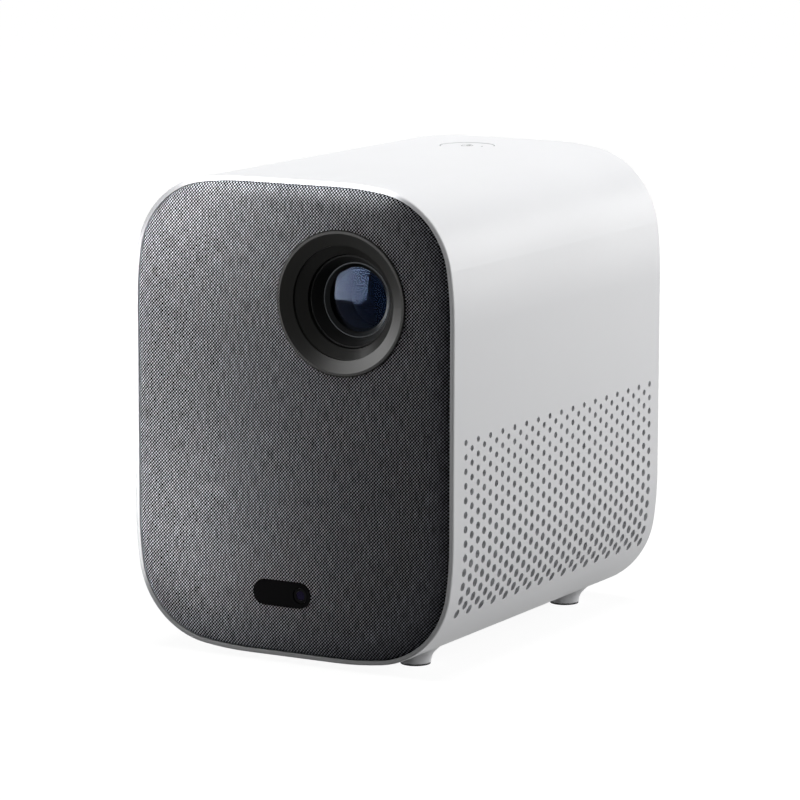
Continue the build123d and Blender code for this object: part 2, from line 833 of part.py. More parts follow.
# Speakers: each has a basket, magnet, moving cone and rubber surround
for side, hand in ((-1, "left"), (1, "right")):
    seat = (side * speaker_offset_x, y_panel_back, speaker_z)
    inner = speaker_radius - speaker_rim
    back = basket_depth - basket_wall
    coil_hole = coil_radius + coil_gap
    basket = turned([
        (inner, 0), (speaker_radius, 0), (speaker_radius, speaker_flange),
        (inner + basket_wall, speaker_flange), (basket_back_radius, back),
        (basket_back_radius, basket_depth), (coil_hole, basket_depth), (coil_hole, back),
        (basket_back_radius - basket_wall, back), (inner, speaker_flange),
    ], seat)
    save(f"{hand}_speaker_basket", basket)
    groove = basket_depth + magnet_length - magnet_floor
    pole = coil_radius - coil_wall - coil_gap
    magnet_end = basket_depth + magnet_length
    magnet = turned([
        (0, basket_depth), (pole, basket_depth), (pole, groove), (coil_hole, groove),
        (coil_hole, basket_depth), (magnet_radius, basket_depth),
        (magnet_radius, magnet_end), (0, magnet_end),
    ], seat)
    save(f"{hand}_speaker_magnet", magnet)
    neck = cone_front + cone_depth
    coil_inner = coil_radius - coil_wall
    cone = turned([
        (0, neck - cap_rise), (coil_inner, neck), (cone_radius - cone_wall / 2, cone_front),
        (cone_radius, cone_front + cone_wall), (coil_radius, neck + cone_wall + coil_wall),
        (coil_radius, neck + coil_length), (coil_inner, neck + coil_length),
        (coil_inner, neck + cone_wall), (0, neck - cap_rise + cone_wall),
    ], seat)
    save(f"{hand}_speaker_cone", cone)
    roll_in = cone_radius + surround_gap
    roll_mid = (roll_in + inner) / 2
    crest = cone_front - surround_rise
    surround = turned([
        (roll_in, cone_front), (roll_mid, crest), (inner, cone_front), (inner, cone_front + surround_wall),
        (roll_mid, crest + surround_wall), (roll_in, cone_front + surround_wall),
    ], seat)
    save(f"{hand}_speaker_surround", surround)

# Fan: square frame with a spider and pin, and the impeller that runs on the pin
fan_x1 = half_width - fan_wall_gap
fan_x0 = fan_x1 - fan_thickness
fan_z = z_fan + fan_size / 2
fan_half = fan_size / 2
fan_origin = (fan_x0, y_axis, fan_z)
hub_start = fan_spider + fan_hub_gap
hub_end = fan_thickness - fan_hub_setback
pin_end = hub_end - fan_spider
spider_x = (fan_x0, fan_x0 + fan_spider)
strut = fan_strut / 2
strut_end = (fan_duct_radius + fan_half) / 2
frame = block(fan_x0, fan_x1, y_axis - fan_half, y_axis + fan_half, z_fan, z_fan_top)
frame -= bar(y_axis, fan_z, fan_duct_radius, fan_x0, fan_x1)
frame += bar(y_axis, fan_z, fan_hub_radius, *spider_x)
frame += block(*spider_x, y_axis - strut_end, y_axis + strut_end, fan_z - strut, fan_z + strut)
frame += block(*spider_x, y_axis - strut, y_axis + strut, fan_z - strut_end, fan_z + strut_end)
frame += bar(y_axis, fan_z, fan_pin_radius, fan_x0 + fan_spider, fan_x0 + pin_end)
for sy in (-1, 1):
    for sz in (-1, 1):
        hole_y = y_axis + sy * fan_hole_place
        frame -= bar(hole_y, fan_z + sz * fan_hole_place, fan_hole_radius, fan_x0, fan_x1)
save("fan_housing", frame)
pin_hole = fan_pin_radius + running_clearance
impeller = turned([
    (pin_hole, hub_start), (fan_hub_radius, hub_start), (fan_hub_radius, hub_end), (0, hub_end),
    (0, pin_end + fan_hub_gap), (pin_hole, pin_end + fan_hub_gap),
], fan_origin, (1, 0, 0))
blade_tip = fan_duct_radius - fan_tip_gap
blade_root = fan_hub_radius - fan_blade_bite
blade_middle = Pos((hub_start + hub_end) / 2, (blade_tip + blade_root) / 2, 0)
blade = Box(fan_blade_chord, blade_tip - blade_root, fan_blade_thickness)
blade = blade_middle * Rot(0, fan_blade_pitch, 0) * blade
for number in range(fan_blades):
    impeller += Pos(*fan_origin) * Rot(360 / fan_blades * number, 0, 0) * blade
save("fan_impeller", impeller)

# Heat sink: a finned block whose base takes the two heat pipes
sink_x1 = fan_x0 - sink_fan_gap
sink_x0 = sink_x1 - sink_length
z_sink_top = z_deck - sink_drop
z_sink_base = z_sink_top - sink_base
z_pipe = z_sink_top - sink_base / 2
sink_half = (sink_fins - 1) * sink_fin_pitch / 2 + sink_fin / 2
pipe_ys = (y_axis - pipe_spacing / 2, y_axis + pipe_spacing / 2)
sink_x = (sink_x0 + sink_x1) / 2
sink = stack(sink_x, y_axis, sink_length, 2 * sink_half, z_sink_base, z_sink_top)
for number in range(sink_fins):
    y = y_axis + number * sink_fin_pitch - sink_half + sink_fin / 2
    sink += stack(sink_x, y, sink_length, sink_fin, z_sink_base - sink_fin_height, z_sink_base)
for y in pipe_ys:
    sink -= bar(y, z_pipe, pipe_radius + seat_clearance, sink_x0, sink_x1)
save("heat_sink", sink)

# Optical engine: an open casting with seats for the glass, closed by a lid
engine_x0 = lens_x - engine_left
engine_x1 = lens_x + engine_right
y_engine_back = y_engine + engine_depth
z_engine_top = lens_z + engine_above
cube_x = lens_x - cube_place
relay_x = lens_x - relay_place
floor = z_deck_top + engine_wall
inside_y = (y_engine + engine_wall, y_engine_back - engine_wall)
inside_x = (engine_x0 + engine_wall, engine_x1 - engine_wall)
engine = block(engine_x0, engine_x1, y_engine, y_engine_back, z_deck_top, z_engine_top)
engine -= block(*inside_x, *inside_y, floor, z_engine_top)
corner_posts = [(x, y) for x in inside_x for y in inside_y]
for x, y in corner_posts:
    engine += post(x, y, engine_post_radius, floor, z_engine_top) & block(
        engine_x0, engine_x1, y_engine, y_engine_back, floor, z_engine_top)
    engine -= post(x, y, pilot_hole, z_engine_top - screw_bite, z_engine_top)
engine += stack(cube_x, y_axis, cube_size, cube_size, floor, lens_z - cube_size / 2)
engine += stack(lens_x, y_axis, prism_size, prism_size, floor, lens_z - prism_size / 2)
relay_top = lens_z + relay_radius + relay_rim
engine += stack(relay_x, y_axis, relay_edge, inside_y[1] - inside_y[0], floor, relay_top)
engine -= bar(y_axis, lens_z, relay_radius + seat_clearance, relay_x - relay_edge, relay_x + relay_edge)
engine -= disc(lens_x, lens_z, lens_port_radius, y_engine, y_engine + engine_wall)
led_hole = collimator_radius + collimator_fit
engine -= bar(y_axis, lens_z, led_hole, engine_x0, engine_x0 + engine_wall)
engine -= disc(cube_x, lens_z, led_hole, y_engine, y_engine + engine_wall)
engine -= disc(cube_x, lens_z, led_hole, y_engine_back - engine_wall, y_engine_back)
engine -= slab(lens_x, lens_z, chip_width + 2 * chip_fit, chip_height + 2 * chip_fit,
               y_engine_back - engine_wall, y_engine_back)
for x, z in tube_screws:
    engine -= disc(x, z, pilot_hole, y_engine, y_engine + engine_wall)
save("engine_housing", engine)
lid = block(engine_x0, engine_x1, y_engine, y_engine_back, z_engine_top, z_engine_top + lid_plate)
for x, y in corner_posts:
    lid -= post(x, y, screw_hole, z_engine_top, z_engine_top + lid_plate)
save("engine_lid", lid)
engine_screws = []
for x, z in tube_screws:
    seat = (x, y_engine - tube_flange_plate, z)
    engine_screws.append(screw(tube_flange_plate + engine_wall, seat, (0, 1, 0)))
for x, y in corner_posts:
    seat = (x, y, z_engine_top + lid_plate)
    engine_screws.append(screw(lid_plate + screw_bite - screw_tip_gap, seat, (0, 0, -1)))
save("engine_screws", *engine_screws)

# Glass inside the engine
arm = prism_size / 2 - prism_gap
shy = arm - 2 * prism_gap
wedge_corners = (((-arm, -arm), (arm, -arm), (-arm, arm)), ((arm, arm), (-shy, arm), (arm, -shy)))
prism_seat = Pos(lens_x, y_axis, lens_z - prism_size / 2)
wedges = []
for corners in wedge_corners:
    wedge = make_face(Polyline(*corners, close=True))
    wedges.append(extrude(prism_seat * wedge, amount=prism_size, dir=(0, 0, 1)))
save("tir_prism", *wedges)
cube_half = cube_size / 2
save("dichroic_cube", stack(cube_x, y_axis, cube_size, cube_size, lens_z - cube_half, lens_z + cube_half))
relay_seat = (relay_x - relay_edge / 2, y_axis, lens_z)
save("relay_lens", dome(relay_radius, relay_edge, relay_dome, relay_dome, relay_seat, (1, 0, 0)))
led_seats = (
    ("green", (engine_x0, y_axis, lens_z), (1, 0, 0)),
    ("red", (cube_x, y_engine, lens_z), (0, 1, 0)),
    ("blue", (cube_x, y_engine_back, lens_z), (0, -1, 0)),
)
collimators = []
for colour, (x, y, z), axis in led_seats:
    at = (x + axis[0] * collimator_inset, y + axis[1] * collimator_inset, z)
    collimators.append(dome(collimator_radius, collimator_edge, 0, collimator_dome, at, axis))
    seat = Plane((x, y, z), x_dir=(0, 0, 1), z_dir=axis)
    module = seat * Pos(0, 0, -led_plate / 2) * Box(led_width, led_width, led_plate)
    emitter = Cylinder(led_emitter_radius, led_emitter_height)
    module += seat * Pos(0, 0, led_emitter_height / 2) * emitter
    if colour != "green":
        for number in range(led_fins):
            across = (number - (led_fins - 1) / 2) * led_fin_pitch
            fin = Box(led_width, led_fin, led_fin_height)
            module += seat * Pos(0, across, -led_plate - led_fin_height / 2) * fin
    save(f"{colour}_led", module)
save("collimators", *collimators)

# Imaging chip on its board, with a heat sink behind it
y_chip_board = y_engine_back + board_thickness
y_chip = y_engine_back - chip_depth
save("imaging_chip", slab(lens_x, lens_z, chip_width, chip_height, y_chip, y_engine_back))
chip_board = slab(lens_x, lens_z, chip_board_width, chip_board_height, y_engine_back, y_chip_board)
z_connector = lens_z - chip_board_height / 2
chip_board += slab(lens_x, z_connector + connector_height / 2, connector_width, connector_height,
                   y_chip_board, y_chip_board + connector_depth)
save("chip_board", chip_board)
chip_sink_z = lens_z + chip_sink_rise
y_fins = y_chip_board + chip_sink_base
y_fin_ends = y_fins + chip_sink_fin_height
chip_sink = slab(lens_x, chip_sink_z, chip_sink_width, chip_sink_height, y_chip_board, y_fins)
for number in range(chip_sink_fins):
    share = number / (chip_sink_fins - 1) - 1 / 2
    x = lens_x + share * (chip_sink_width - chip_sink_fin)
    chip_sink += slab(x, chip_sink_z, chip_sink_fin, chip_sink_height, y_fins, y_fin_ends)
save("chip_heat_sink", chip_sink)

# Heat pipes: up from the sink base to the green light source
pipe_x = engine_x0 - led_plate - pipe_radius - seat_clearance
pipes = []
for y in pipe_ys:
    route = FilletPolyline((pipe_x, y, lens_z + pipe_rise), (pipe_x, y, z_pipe),
                           (sink_x1 - pipe_end_margin, y, z_pipe), radius=pipe_bend)
    pipes.append(sweep(Plane(route @ 0, z_dir=route % 0) * Circle(pipe_radius), path=route))
save("heat_pipes", *pipes)

# Main board with its sockets along the rear edge
board_half = foot_x - column_size / 2 - board_gap
y_board_front = y_front + board_front_setback
y_board_back = y_bay - cover_wall - panel_gap
board_screw_ys = (y_board_front + board_screw_inset, y_board_back - board_rear_screw_setback)
board_places = [(sx * (board_half - board_screw_inset), y) for sx in (-1, 1) for y in board_screw_ys]
y_flex = y_chip_board + flex_setback
main_board = block(-board_half, board_half, y_board_front, y_board_back, z_board, z_board_top)
main_board += stack(lens_x, y_flex, connector_width, connector_depth, z_board_top,
                    z_board_top + connector_height)
for x, y in board_places:
    main_board -= post(x, y, small_hole, z_board, z_board_top)
save("main_board", main_board)
shield_y = y_board_front + board_screw_inset + shield_setback + shield_depth / 2
z_shield = z_board_top + shield_height
shield = stack(0, shield_y, shield_width, shield_depth, z_board_top, z_shield)
shield -= stack(0, shield_y, shield_width - 2 * shield_wall, shield_depth - 2 * shield_wall,
                z_board_top, z_shield - shield_wall)
save("board_shield", shield)
board_screws = []
for x, y in board_places:
    board_screws.append(screw(board_thickness + standoff_height, (x, y, z_board_top), (0, 0, -1), small=True))
save("board_screws", *board_screws)
y_socket = y_bay - socket_setback
socket_widths = (audio_width, usb_width, hdmi_width, dc_width)
row_width = sum(socket_widths) + socket_spacing * (len(socket_widths) - 1)
socket_x = []
row_start = -row_width / 2
for width in socket_widths:
    socket_x.append(row_start + width / 2)
    row_start += width + socket_spacing
audio_x, usb_x, hdmi_x, dc_x = socket_x


def socket_body(x, width, height, length, y_face):
    """A socket's block, standing on the main board with its face at y_face."""
    return block(x - width / 2, x + width / 2, y_face - length, y_face, z_board_top, z_board_top + height)


usb = socket_body(usb_x, usb_width, usb_height, usb_length, y_socket)
usb_mid = z_board_top + usb_height / 2
usb_mouth = Pos(usb_x, usb_mid) * Rectangle(usb_width - 2 * usb_shell, usb_height - 2 * usb_shell)
usb -= prism(usb_mouth, y_socket - usb_length + socket_floor, y_socket)
usb += slab(usb_x, usb_mid + tongue_thickness / 2, usb_width - 2 * tongue_margin, tongue_thickness,
            y_socket - usb_length + socket_floor, y_socket - socket_floor)
save("usb_socket", usb)
hdmi_mid = z_board_top + hdmi_height / 2
hdmi = socket_body(hdmi_x, hdmi_width, hdmi_height, hdmi_length, y_socket)


def hdmi_section(inset):
    """The socket's section: a rectangle with its two lower corners cut away."""
    w = hdmi_width / 2 - inset
    h = hdmi_height / 2 - inset
    cut = hdmi_bevel
    points = [(-w, h), (w, h), (w, -h + cut), (w - cut, -h), (-w + cut, -h), (-w, -h + cut)]
    return Pos(hdmi_x, hdmi_mid) * make_face(Polyline(*points, close=True))


hdmi = hdmi & prism(hdmi_section(0), y_socket - hdmi_length, y_socket)
hdmi -= prism(hdmi_section(hdmi_shell), y_socket - hdmi_length + socket_floor, y_socket)
hdmi += slab(hdmi_x, hdmi_mid, hdmi_width - 2 * tongue_margin, tongue_thickness,
             y_socket - hdmi_length + socket_floor, y_socket - socket_floor)
save("hdmi_socket", hdmi)
y_block = y_bay - cover_wall - panel_gap
dc_mid = z_board_top + dc_height / 2
dc = socket_body(dc_x, dc_width, dc_height, dc_length, y_block)
dc += disc(dc_x, dc_mid, dc_barrel_radius, y_block, y_socket)
dc -= disc(dc_x, dc_mid, dc_bore_radius, y_block - dc_length + socket_floor, y_socket)
dc += disc(dc_x, dc_mid, dc_pin_radius, y_block - dc_length + socket_floor, y_socket - dc_pin_setback)
save("dc_jack", dc)
audio_mid = z_board_top + audio_height / 2
audio = socket_body(audio_x, audio_width, audio_height, audio_length, y_block)
audio += disc(audio_x, audio_mid, audio_barrel_radius, y_block, y_socket)
audio -= disc(audio_x, audio_mid, audio_bore_radius, y_socket - audio_bore_depth, y_socket)
save("audio_jack", audio)

# Rear cover: dished like the front, with exhaust slots and a bay for the sockets
bay_x = row_width / 2 + bay_margin_x
bay_low = z_board - bay_margin_z / 2
bay_high = z_board_top + dc_height + bay_margin_z
bay_tall = bay_high - bay_low
cover = pillow(panel_inset, y_rear, y_ledge_rear, cover_slope_drop)
cover -= pillow(panel_inset + cover_wall, y_cover_inside, y_ledge_rear, cover_slope_drop)


def bay_section(grow):
    """The socket bay's rounded outline, in X and Z."""
    sheet = RectangleRounded(2 * (bay_x + grow), bay_tall + 2 * grow, bay_corner + grow)
    return Pos(0, (bay_low + bay_high) / 2) * sheet


cover += prism(bay_section(cover_wall), y_bay - cover_wall, y_cover_inside + cover_wall / 2)
cover -= prism(bay_section(0), y_bay, y_rear + cut_over)
wall = (y_bay - cover_wall, y_bay)
usb_hole = Pos(usb_x, usb_mid) * Rectangle(usb_width + 2 * socket_fit, usb_height + 2 * socket_fit)
cover -= prism(usb_hole, *wall)
cover -= prism(hdmi_section(-socket_fit), *wall)
cover -= disc(dc_x, dc_mid, dc_barrel_radius + socket_fit, *wall)
cover -= disc(audio_x, audio_mid, audio_barrel_radius + socket_fit, *wall)
for number in range(slot_count):
    z = z_top - slot_top_drop - number * slot_pitch
    cover -= prism(Pos(0, z) * SlotOverall(slot_length, slot_height), y_ledge_rear, y_rear + cut_over)
cover_screw_zs = (z_bottom + cover_screw_low, z_top - cover_screw_high)
cover_places = [(sx * foot_x, z) for sx in (-1, 1) for z in cover_screw_zs]
y_screw_seat = y_rear - cover_head_recess
cover_screws = []
for x, z in cover_places:
    cover += disc(x, z, boss_radius + cover_wall / 2, y_cover_inside - cover_head_recess, y_cover_inside)
    cover -= disc(x, z, screw_hole, y_ledge_rear, y_rear)
    cover -= disc(x, z, screw_head_radius + screw_clearance, y_screw_seat, y_rear + cut_over)
    cover_screws.append(screw(cover_wall + screw_bite, (x, y_screw_seat, z), (0, -1, 0)))
save("rear_cover", cover)
save("cover_screws", *cover_screws)

# Chassis: tray, columns and deck in one moulding
y_front_column = y_front + front_column_setback
tray_x = foot_x + foot_boss_radius
tray_y = foot_y + foot_boss_radius
deck_x = foot_x + deck_overhang
chassis = block(-tray_x, tray_x, -tray_y, tray_y, z_tray, z_tray_top)
chassis += block(-deck_x, deck_x, y_front_column - deck_lip, foot_y + deck_lip, z_deck, z_deck_top)
z_column_top = z_top - cover_screw_high + column_size / 2
for side in (-1, 1):
    x = side * foot_x
    chassis += stack(x, y_front_column, column_size, column_size, z_tray, z_deck_top)
    chassis += stack(x, foot_y, column_size, column_size, z_tray, z_column_top)
for x, y in foot_places:
    chassis += post(x, y, foot_socket_radius, z_tray, z_tray_top + screw_bite)
    chassis -= post(x, y, pilot_hole, z_tray, z_tray_top + screw_bite)
y_boss_end = y_cover_inside - cover_head_recess
for x, z in cover_places:
    chassis += disc(x, z, boss_radius, foot_y, y_boss_end)
    chassis -= disc(x, z, pilot_hole, y_boss_end - screw_bite, y_boss_end)
for x, y in board_places:
    chassis += post(x, y, standoff_radius, z_tray, z_board)
    chassis -= post(x, y, small_pilot, z_tray_top, z_board)
for sx in (-1, 1):
    for sy in (-1, 1):
        x = sink_x + sx * (sink_length / 2 - sink_post_inset)
        y = y_axis + sy * (sink_half - sink_post_inset)
        chassis += post(x, y, sink_post_radius, z_sink_top, z_deck)
rib_x = (fan_x0 + fan_rib + deck_x) / 2
chassis += stack(rib_x, y_axis, deck_x - fan_x0 - fan_rib, 2 * fan_cradle_place, z_fan_top, z_deck)
for sy in (-1, 1):
    y = y_axis + sy * fan_cradle_place
    chassis += block(fan_x0, tray_x, y - fan_cradle / 2, y + fan_cradle / 2, z_tray, z_fan)
chassis -= post(0, 0, insert_radius + insert_fit, z_tray, z_tray_top)
pipe_slot = 2 * (pipe_radius + pipe_slot_gap)
chassis -= stack(pipe_x, y_axis, pipe_slot, pipe_spacing + pipe_slot, z_deck, z_deck_top)
chassis -= stack(lens_x, y_flex, connector_width, flex_slot, z_deck, z_deck_top)
save("chassis", chassis)

# Flex cable from the chip board down to the main board
y_flex_top = y_chip_board + connector_depth / 2
flex_route = FilletPolyline((y_flex_top, z_connector), (y_flex_top, z_connector - flex_straight),
                            (y_flex, z_deck_top + flex_rise), (y_flex, z_board_top + connector_height),
                            radius=flex_bend)
flex_side = Plane((lens_x - flex_width / 2, 0, 0), x_dir=(0, 1, 0), z_dir=(1, 0, 0))
flex_face = flex_side * trace(flex_route, flex_thickness)
save("flex_cable", extrude(flex_face, amount=flex_width, dir=(1, 0, 0)))

# Dust screens behind the vents
z_screen_top = z_mid - vent_top_drop + screen_margin
screen_y = (vent_columns - 1) / 2 * vent_column_pitch + vent_low_diameter / 2
screen = prism(outline(shell_wall + screen_gap), -screen_y, screen_y)
screen -= prism(outline(shell_wall + screen_gap + screen_thickness), -screen_y, screen_y)
z_screen_low = drop_along_side((vent_rows - 1) * vent_row_pitch) - screen_margin
screens = []
for side in (-1, 1):
    x = side * (half_width - screen_reach / 2)
    screens.append(screen & stack(x, 0, screen_reach, 2 * screen_y, z_screen_low, z_screen_top))
save("dust_screens", *screens)

# Antennas on the chassis posts
z_antenna = z_top - cover_screw_high - antenna_drop - boss_radius
antennas = []
for side in (-1, 1):
    x = side * (foot_x + column_size / 2 + antenna_thickness / 2)
    antennas.append(stack(x, foot_y, antenna_thickness, column_size, z_antenna - antenna_height, z_antenna))
save("antennas", *antennas)
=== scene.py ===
import math

import bmesh
import bpy
from mathutils import Matrix, Vector


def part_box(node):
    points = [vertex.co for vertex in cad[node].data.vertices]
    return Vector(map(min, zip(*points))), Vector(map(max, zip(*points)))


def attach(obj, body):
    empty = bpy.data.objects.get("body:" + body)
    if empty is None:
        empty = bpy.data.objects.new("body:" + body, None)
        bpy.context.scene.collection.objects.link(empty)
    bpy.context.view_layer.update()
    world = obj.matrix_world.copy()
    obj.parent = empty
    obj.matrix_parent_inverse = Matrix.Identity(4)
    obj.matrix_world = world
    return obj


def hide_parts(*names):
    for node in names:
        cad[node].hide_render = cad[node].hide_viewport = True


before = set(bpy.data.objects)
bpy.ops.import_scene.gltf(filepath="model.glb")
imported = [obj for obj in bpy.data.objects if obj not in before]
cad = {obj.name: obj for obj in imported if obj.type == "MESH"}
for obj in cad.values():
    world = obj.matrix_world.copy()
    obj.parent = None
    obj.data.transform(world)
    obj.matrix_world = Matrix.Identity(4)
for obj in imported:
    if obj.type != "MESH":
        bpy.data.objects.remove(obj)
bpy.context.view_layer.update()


# Chassis: tray, columns and deck in one dark grey moulding of glass-filled nylon.
# It takes the foot screws from below and the rear cover's screws from behind.
def start_finish(name, colour, roughness, metal=0.0):
    """A material whose shader holds the plain values, with its node tree."""
    finish = bpy.data.materials.new(name)
    finish.use_nodes = True
    tree = finish.node_tree
    shader = tree.nodes["Principled BSDF"]
    shader.inputs["Base Color"].default_value = (*colour, 1)
    shader.inputs["Roughness"].default_value = roughness
    shader.inputs["Metallic"].default_value = metal
    return finish, tree, shader


def speckle(tree, size, detail=2.0, stretch=(1, 1, 1)):
    """Noise with grains of one size in metres, longer along an axis whose stretch is below 1."""
    place = tree.nodes.new("ShaderNodeTexCoord")
    mapping = tree.nodes.new("ShaderNodeMapping")
    mapping.inputs["Scale"].default_value = stretch
    noise = tree.nodes.new("ShaderNodeTexNoise")
    noise.inputs["Scale"].default_value = 1 / size
    noise.inputs["Detail"].default_value = detail
    tree.links.new(place.outputs["Object"], mapping.inputs["Vector"])
    tree.links.new(mapping.outputs["Vector"], noise.inputs["Vector"])
    return noise.outputs["Fac"]


def emboss(tree, shader, height, strength, depth):
    """Bump of one depth in metres."""
    bump = tree.nodes.new("ShaderNodeBump")
    bump.inputs["Strength"].default_value = strength
    bump.inputs["Distance"].default_value = depth
    tree.links.new(height, bump.inputs["Height"])
    tree.links.new(bump.outputs["Normal"], shader.inputs["Normal"])


def shade(tree, shader, socket, value, low, high):
    """Spreads a 0 to 1 value between two colours or two numbers on a shader socket."""
    if isinstance(low, tuple):
        ramp = tree.nodes.new("ShaderNodeValToRGB")
        ramp.color_ramp.elements[0].position = 0.3
        ramp.color_ramp.elements[1].position = 0.7
        ramp.color_ramp.elements[0].color = (*low, 1)
        ramp.color_ramp.elements[1].color = (*high, 1)
        tree.links.new(value, ramp.inputs["Fac"])
        tree.links.new(ramp.outputs["Color"], shader.inputs[socket])
    else:
        spread = tree.nodes.new("ShaderNodeMapRange")
        spread.inputs["From Min"].default_value = 0.3
        spread.inputs["From Max"].default_value = 0.7
        spread.inputs["To Min"].default_value = low
        spread.inputs["To Max"].default_value = high
        tree.links.new(value, spread.inputs["Value"])
        tree.links.new(spread.outputs["Result"], shader.inputs[socket])


def tint(colour, factor):
    """The colour made lighter or darker."""
    return tuple(min(1, channel * factor) for channel in colour)


def moulded(name, colour, roughness, grain=0.0004, depth=0.00002, spread=0.04, gloss=0.5):
    """Moulded plastic: a fine spark-eroded grain, with slight changes of tone and gloss."""
    finish, tree, shader = start_finish(name, colour, roughness)
    shader.inputs["Specular IOR Level"].default_value = gloss
    emboss(tree, shader, speckle(tree, grain), 0.35, depth)
    cloud = speckle(tree, 0.03, 1.0)
    shade(tree, shader, "Base Color", cloud, tint(colour, 1 - spread), tint(colour, 1 + spread))
    shade(tree, shader, "Roughness", cloud, roughness - 0.03, roughness + 0.03)
    return finish


def dress(finish, *names):
    """Puts a finish on CAD nodes."""
    for name in names:
        cad[name].data.materials.clear()
        cad[name].data.materials.append(finish)


dress(moulded("chassis_nylon", (0.1, 0.1, 0.105), 0.6), "chassis")


# Circuit boards: glass-epoxy laminate under green resist, screwed to the chassis,
# the engine and the roof. The antennas are narrow boards of the same laminate.
def circuit_board(name, colour):
    """Green resist with raised copper tracks."""
    finish, tree, shader = start_finish(name, colour, 0.35)
    place = tree.nodes.new("ShaderNodeTexCoord")
    tracks = tree.nodes.new("ShaderNodeTexBrick")
    tracks.inputs["Scale"].default_value = 160
    tracks.inputs["Mortar Size"].default_value = 0.035
    tracks.inputs["Color1"].default_value = (*colour, 1)
    tracks.inputs["Color2"].default_value = (*tint(colour, 1.25), 1)
    tracks.inputs["Mortar"].default_value = (*tint(colour, 1.9), 1)
    tree.links.new(place.outputs["Object"], tracks.inputs["Vector"])
    tree.links.new(tracks.outputs["Color"], shader.inputs["Base Color"])
    emboss(tree, shader, tracks.outputs["Fac"], 0.3, 0.00005)
    return finish


dress(circuit_board("board_resist", (0.015, 0.11, 0.045)),
      "main_board", "chip_board", "button_board", "antennas")
dress(moulded("flex_film", (0.5, 0.26, 0.05), 0.3, 0.0015), "flex_cable")
dress(moulded("chip_ceramic", (0.2, 0.2, 0.21), 0.4), "imaging_chip")


# Plated sheet metal: the board shield and the two flat sockets are folded and tinned,
# the motor has a drawn steel can, and every screw is dark plated steel.
def worked_metal(name, colour, roughness, stretch=(1, 1, 1), grain=0.0006):
    """Metal with fine drawn or brushed streaks along one axis."""
    finish, tree, shader = start_finish(name, colour, roughness, 1.0)
    streaks = speckle(tree, grain, 3.0, stretch)
    shade(tree, shader, "Base Color", streaks, tint(colour, 0.88), tint(colour, 1.1))
    shade(tree, shader, "Roughness", streaks, roughness - 0.06, roughness + 0.08)
    emboss(tree, shader, streaks, 0.12, 0.00002)
    return finish


dress(worked_metal("tinned_sheet", (0.6, 0.6, 0.61), 0.32, (0.06, 1, 1)),
      "board_shield", "hdmi_socket", "usb_socket")
dress(worked_metal("motor_can", (0.5, 0.5, 0.51), 0.35, (1, 0.05, 1)), "focus_motor")
dress(worked_metal("dark_screw_plate", (0.16, 0.16, 0.165), 0.38),
      "foot_screws", "cover_screws", "engine_screws", "board_screws", "button_screws")
dress(moulded("jack_black", (0.018, 0.018, 0.019), 0.45), "dc_jack", "audio_jack")

# Cooling parts: extruded aluminium fins, drawn copper heat pipes, and a black moulded fan
# that pulls air in through one vented side. Fine mesh screens keep dust out at both sides.
dress(worked_metal("fin_aluminium", (0.72, 0.72, 0.73), 0.36, (0.05, 1, 1)),
      "heat_sink", "chip_heat_sink", "red_led", "green_led", "blue_led")
dress(worked_metal("drawn_copper", (0.7, 0.36, 0.22), 0.28, (0.1, 1, 0.1)), "heat_pipes")
dress(moulded("fan_black", (0.025, 0.025, 0.026), 0.4),
      "fan_housing", "fan_impeller", "focus_ring", "focus_pinion")


def dust_mesh(name, colour):
    """Woven nylon screen, paler along its threads."""
    finish, tree, shader = start_finish(name, colour, 0.7)
    place = tree.nodes.new("ShaderNodeTexCoord")
    threads = tree.nodes.new("ShaderNodeTexBrick")
    threads.offset = 0
    threads.inputs["Scale"].default_value = 1500
    threads.inputs["Brick Width"].default_value = 0.5
    threads.inputs["Row Height"].default_value = 0.5
    threads.inputs["Mortar Size"].default_value = 0.09
    threads.inputs["Color1"].default_value = (*tint(colour, 0.8), 1)
    threads.inputs["Color2"].default_value = (*colour, 1)
    threads.inputs["Mortar"].default_value = (*tint(colour, 1.25), 1)
    turn = tree.nodes.new("ShaderNodeMapping")
    turn.inputs["Rotation"].default_value = (0, math.radians(90), 0)
    tree.links.new(place.outputs["Object"], turn.inputs["Vector"])
    tree.links.new(turn.outputs["Vector"], threads.inputs["Vector"])
    tree.links.new(threads.outputs["Color"], shader.inputs["Base Color"])
    return finish


dress(dust_mesh("screen_mesh", (0.26, 0.26, 0.27)), "dust_screens")

# Light engine: a black-washed aluminium casting and lid that hold the prism, cube and lenses.
# Its glass is polished, with a slight body colour in each piece.
dress(worked_metal("engine_casting", (0.24, 0.24, 0.25), 0.55, grain=0.002), "engine_housing", "engine_lid")


def polished_glass(name, colour, coat_tint, index):
    """Clear glass whose coating colours what it reflects."""
    finish, tree, shader = start_finish(name, colour, 0.02)
    shader.inputs["Transmission Weight"].default_value = 1
    shader.inputs["IOR"].default_value = index
    shader.inputs["Specular Tint"].default_value = (*coat_tint, 1)
    shade(tree, shader, "Roughness", speckle(tree, 0.004, 1.0), 0.005, 0.03)
    return finish


dress(polished_glass("prism_glass", (0.9, 0.95, 1.0), (0.8, 0.9, 1.0), 1.5),
      "tir_prism", "dichroic_cube", "relay_lens", "collimators")

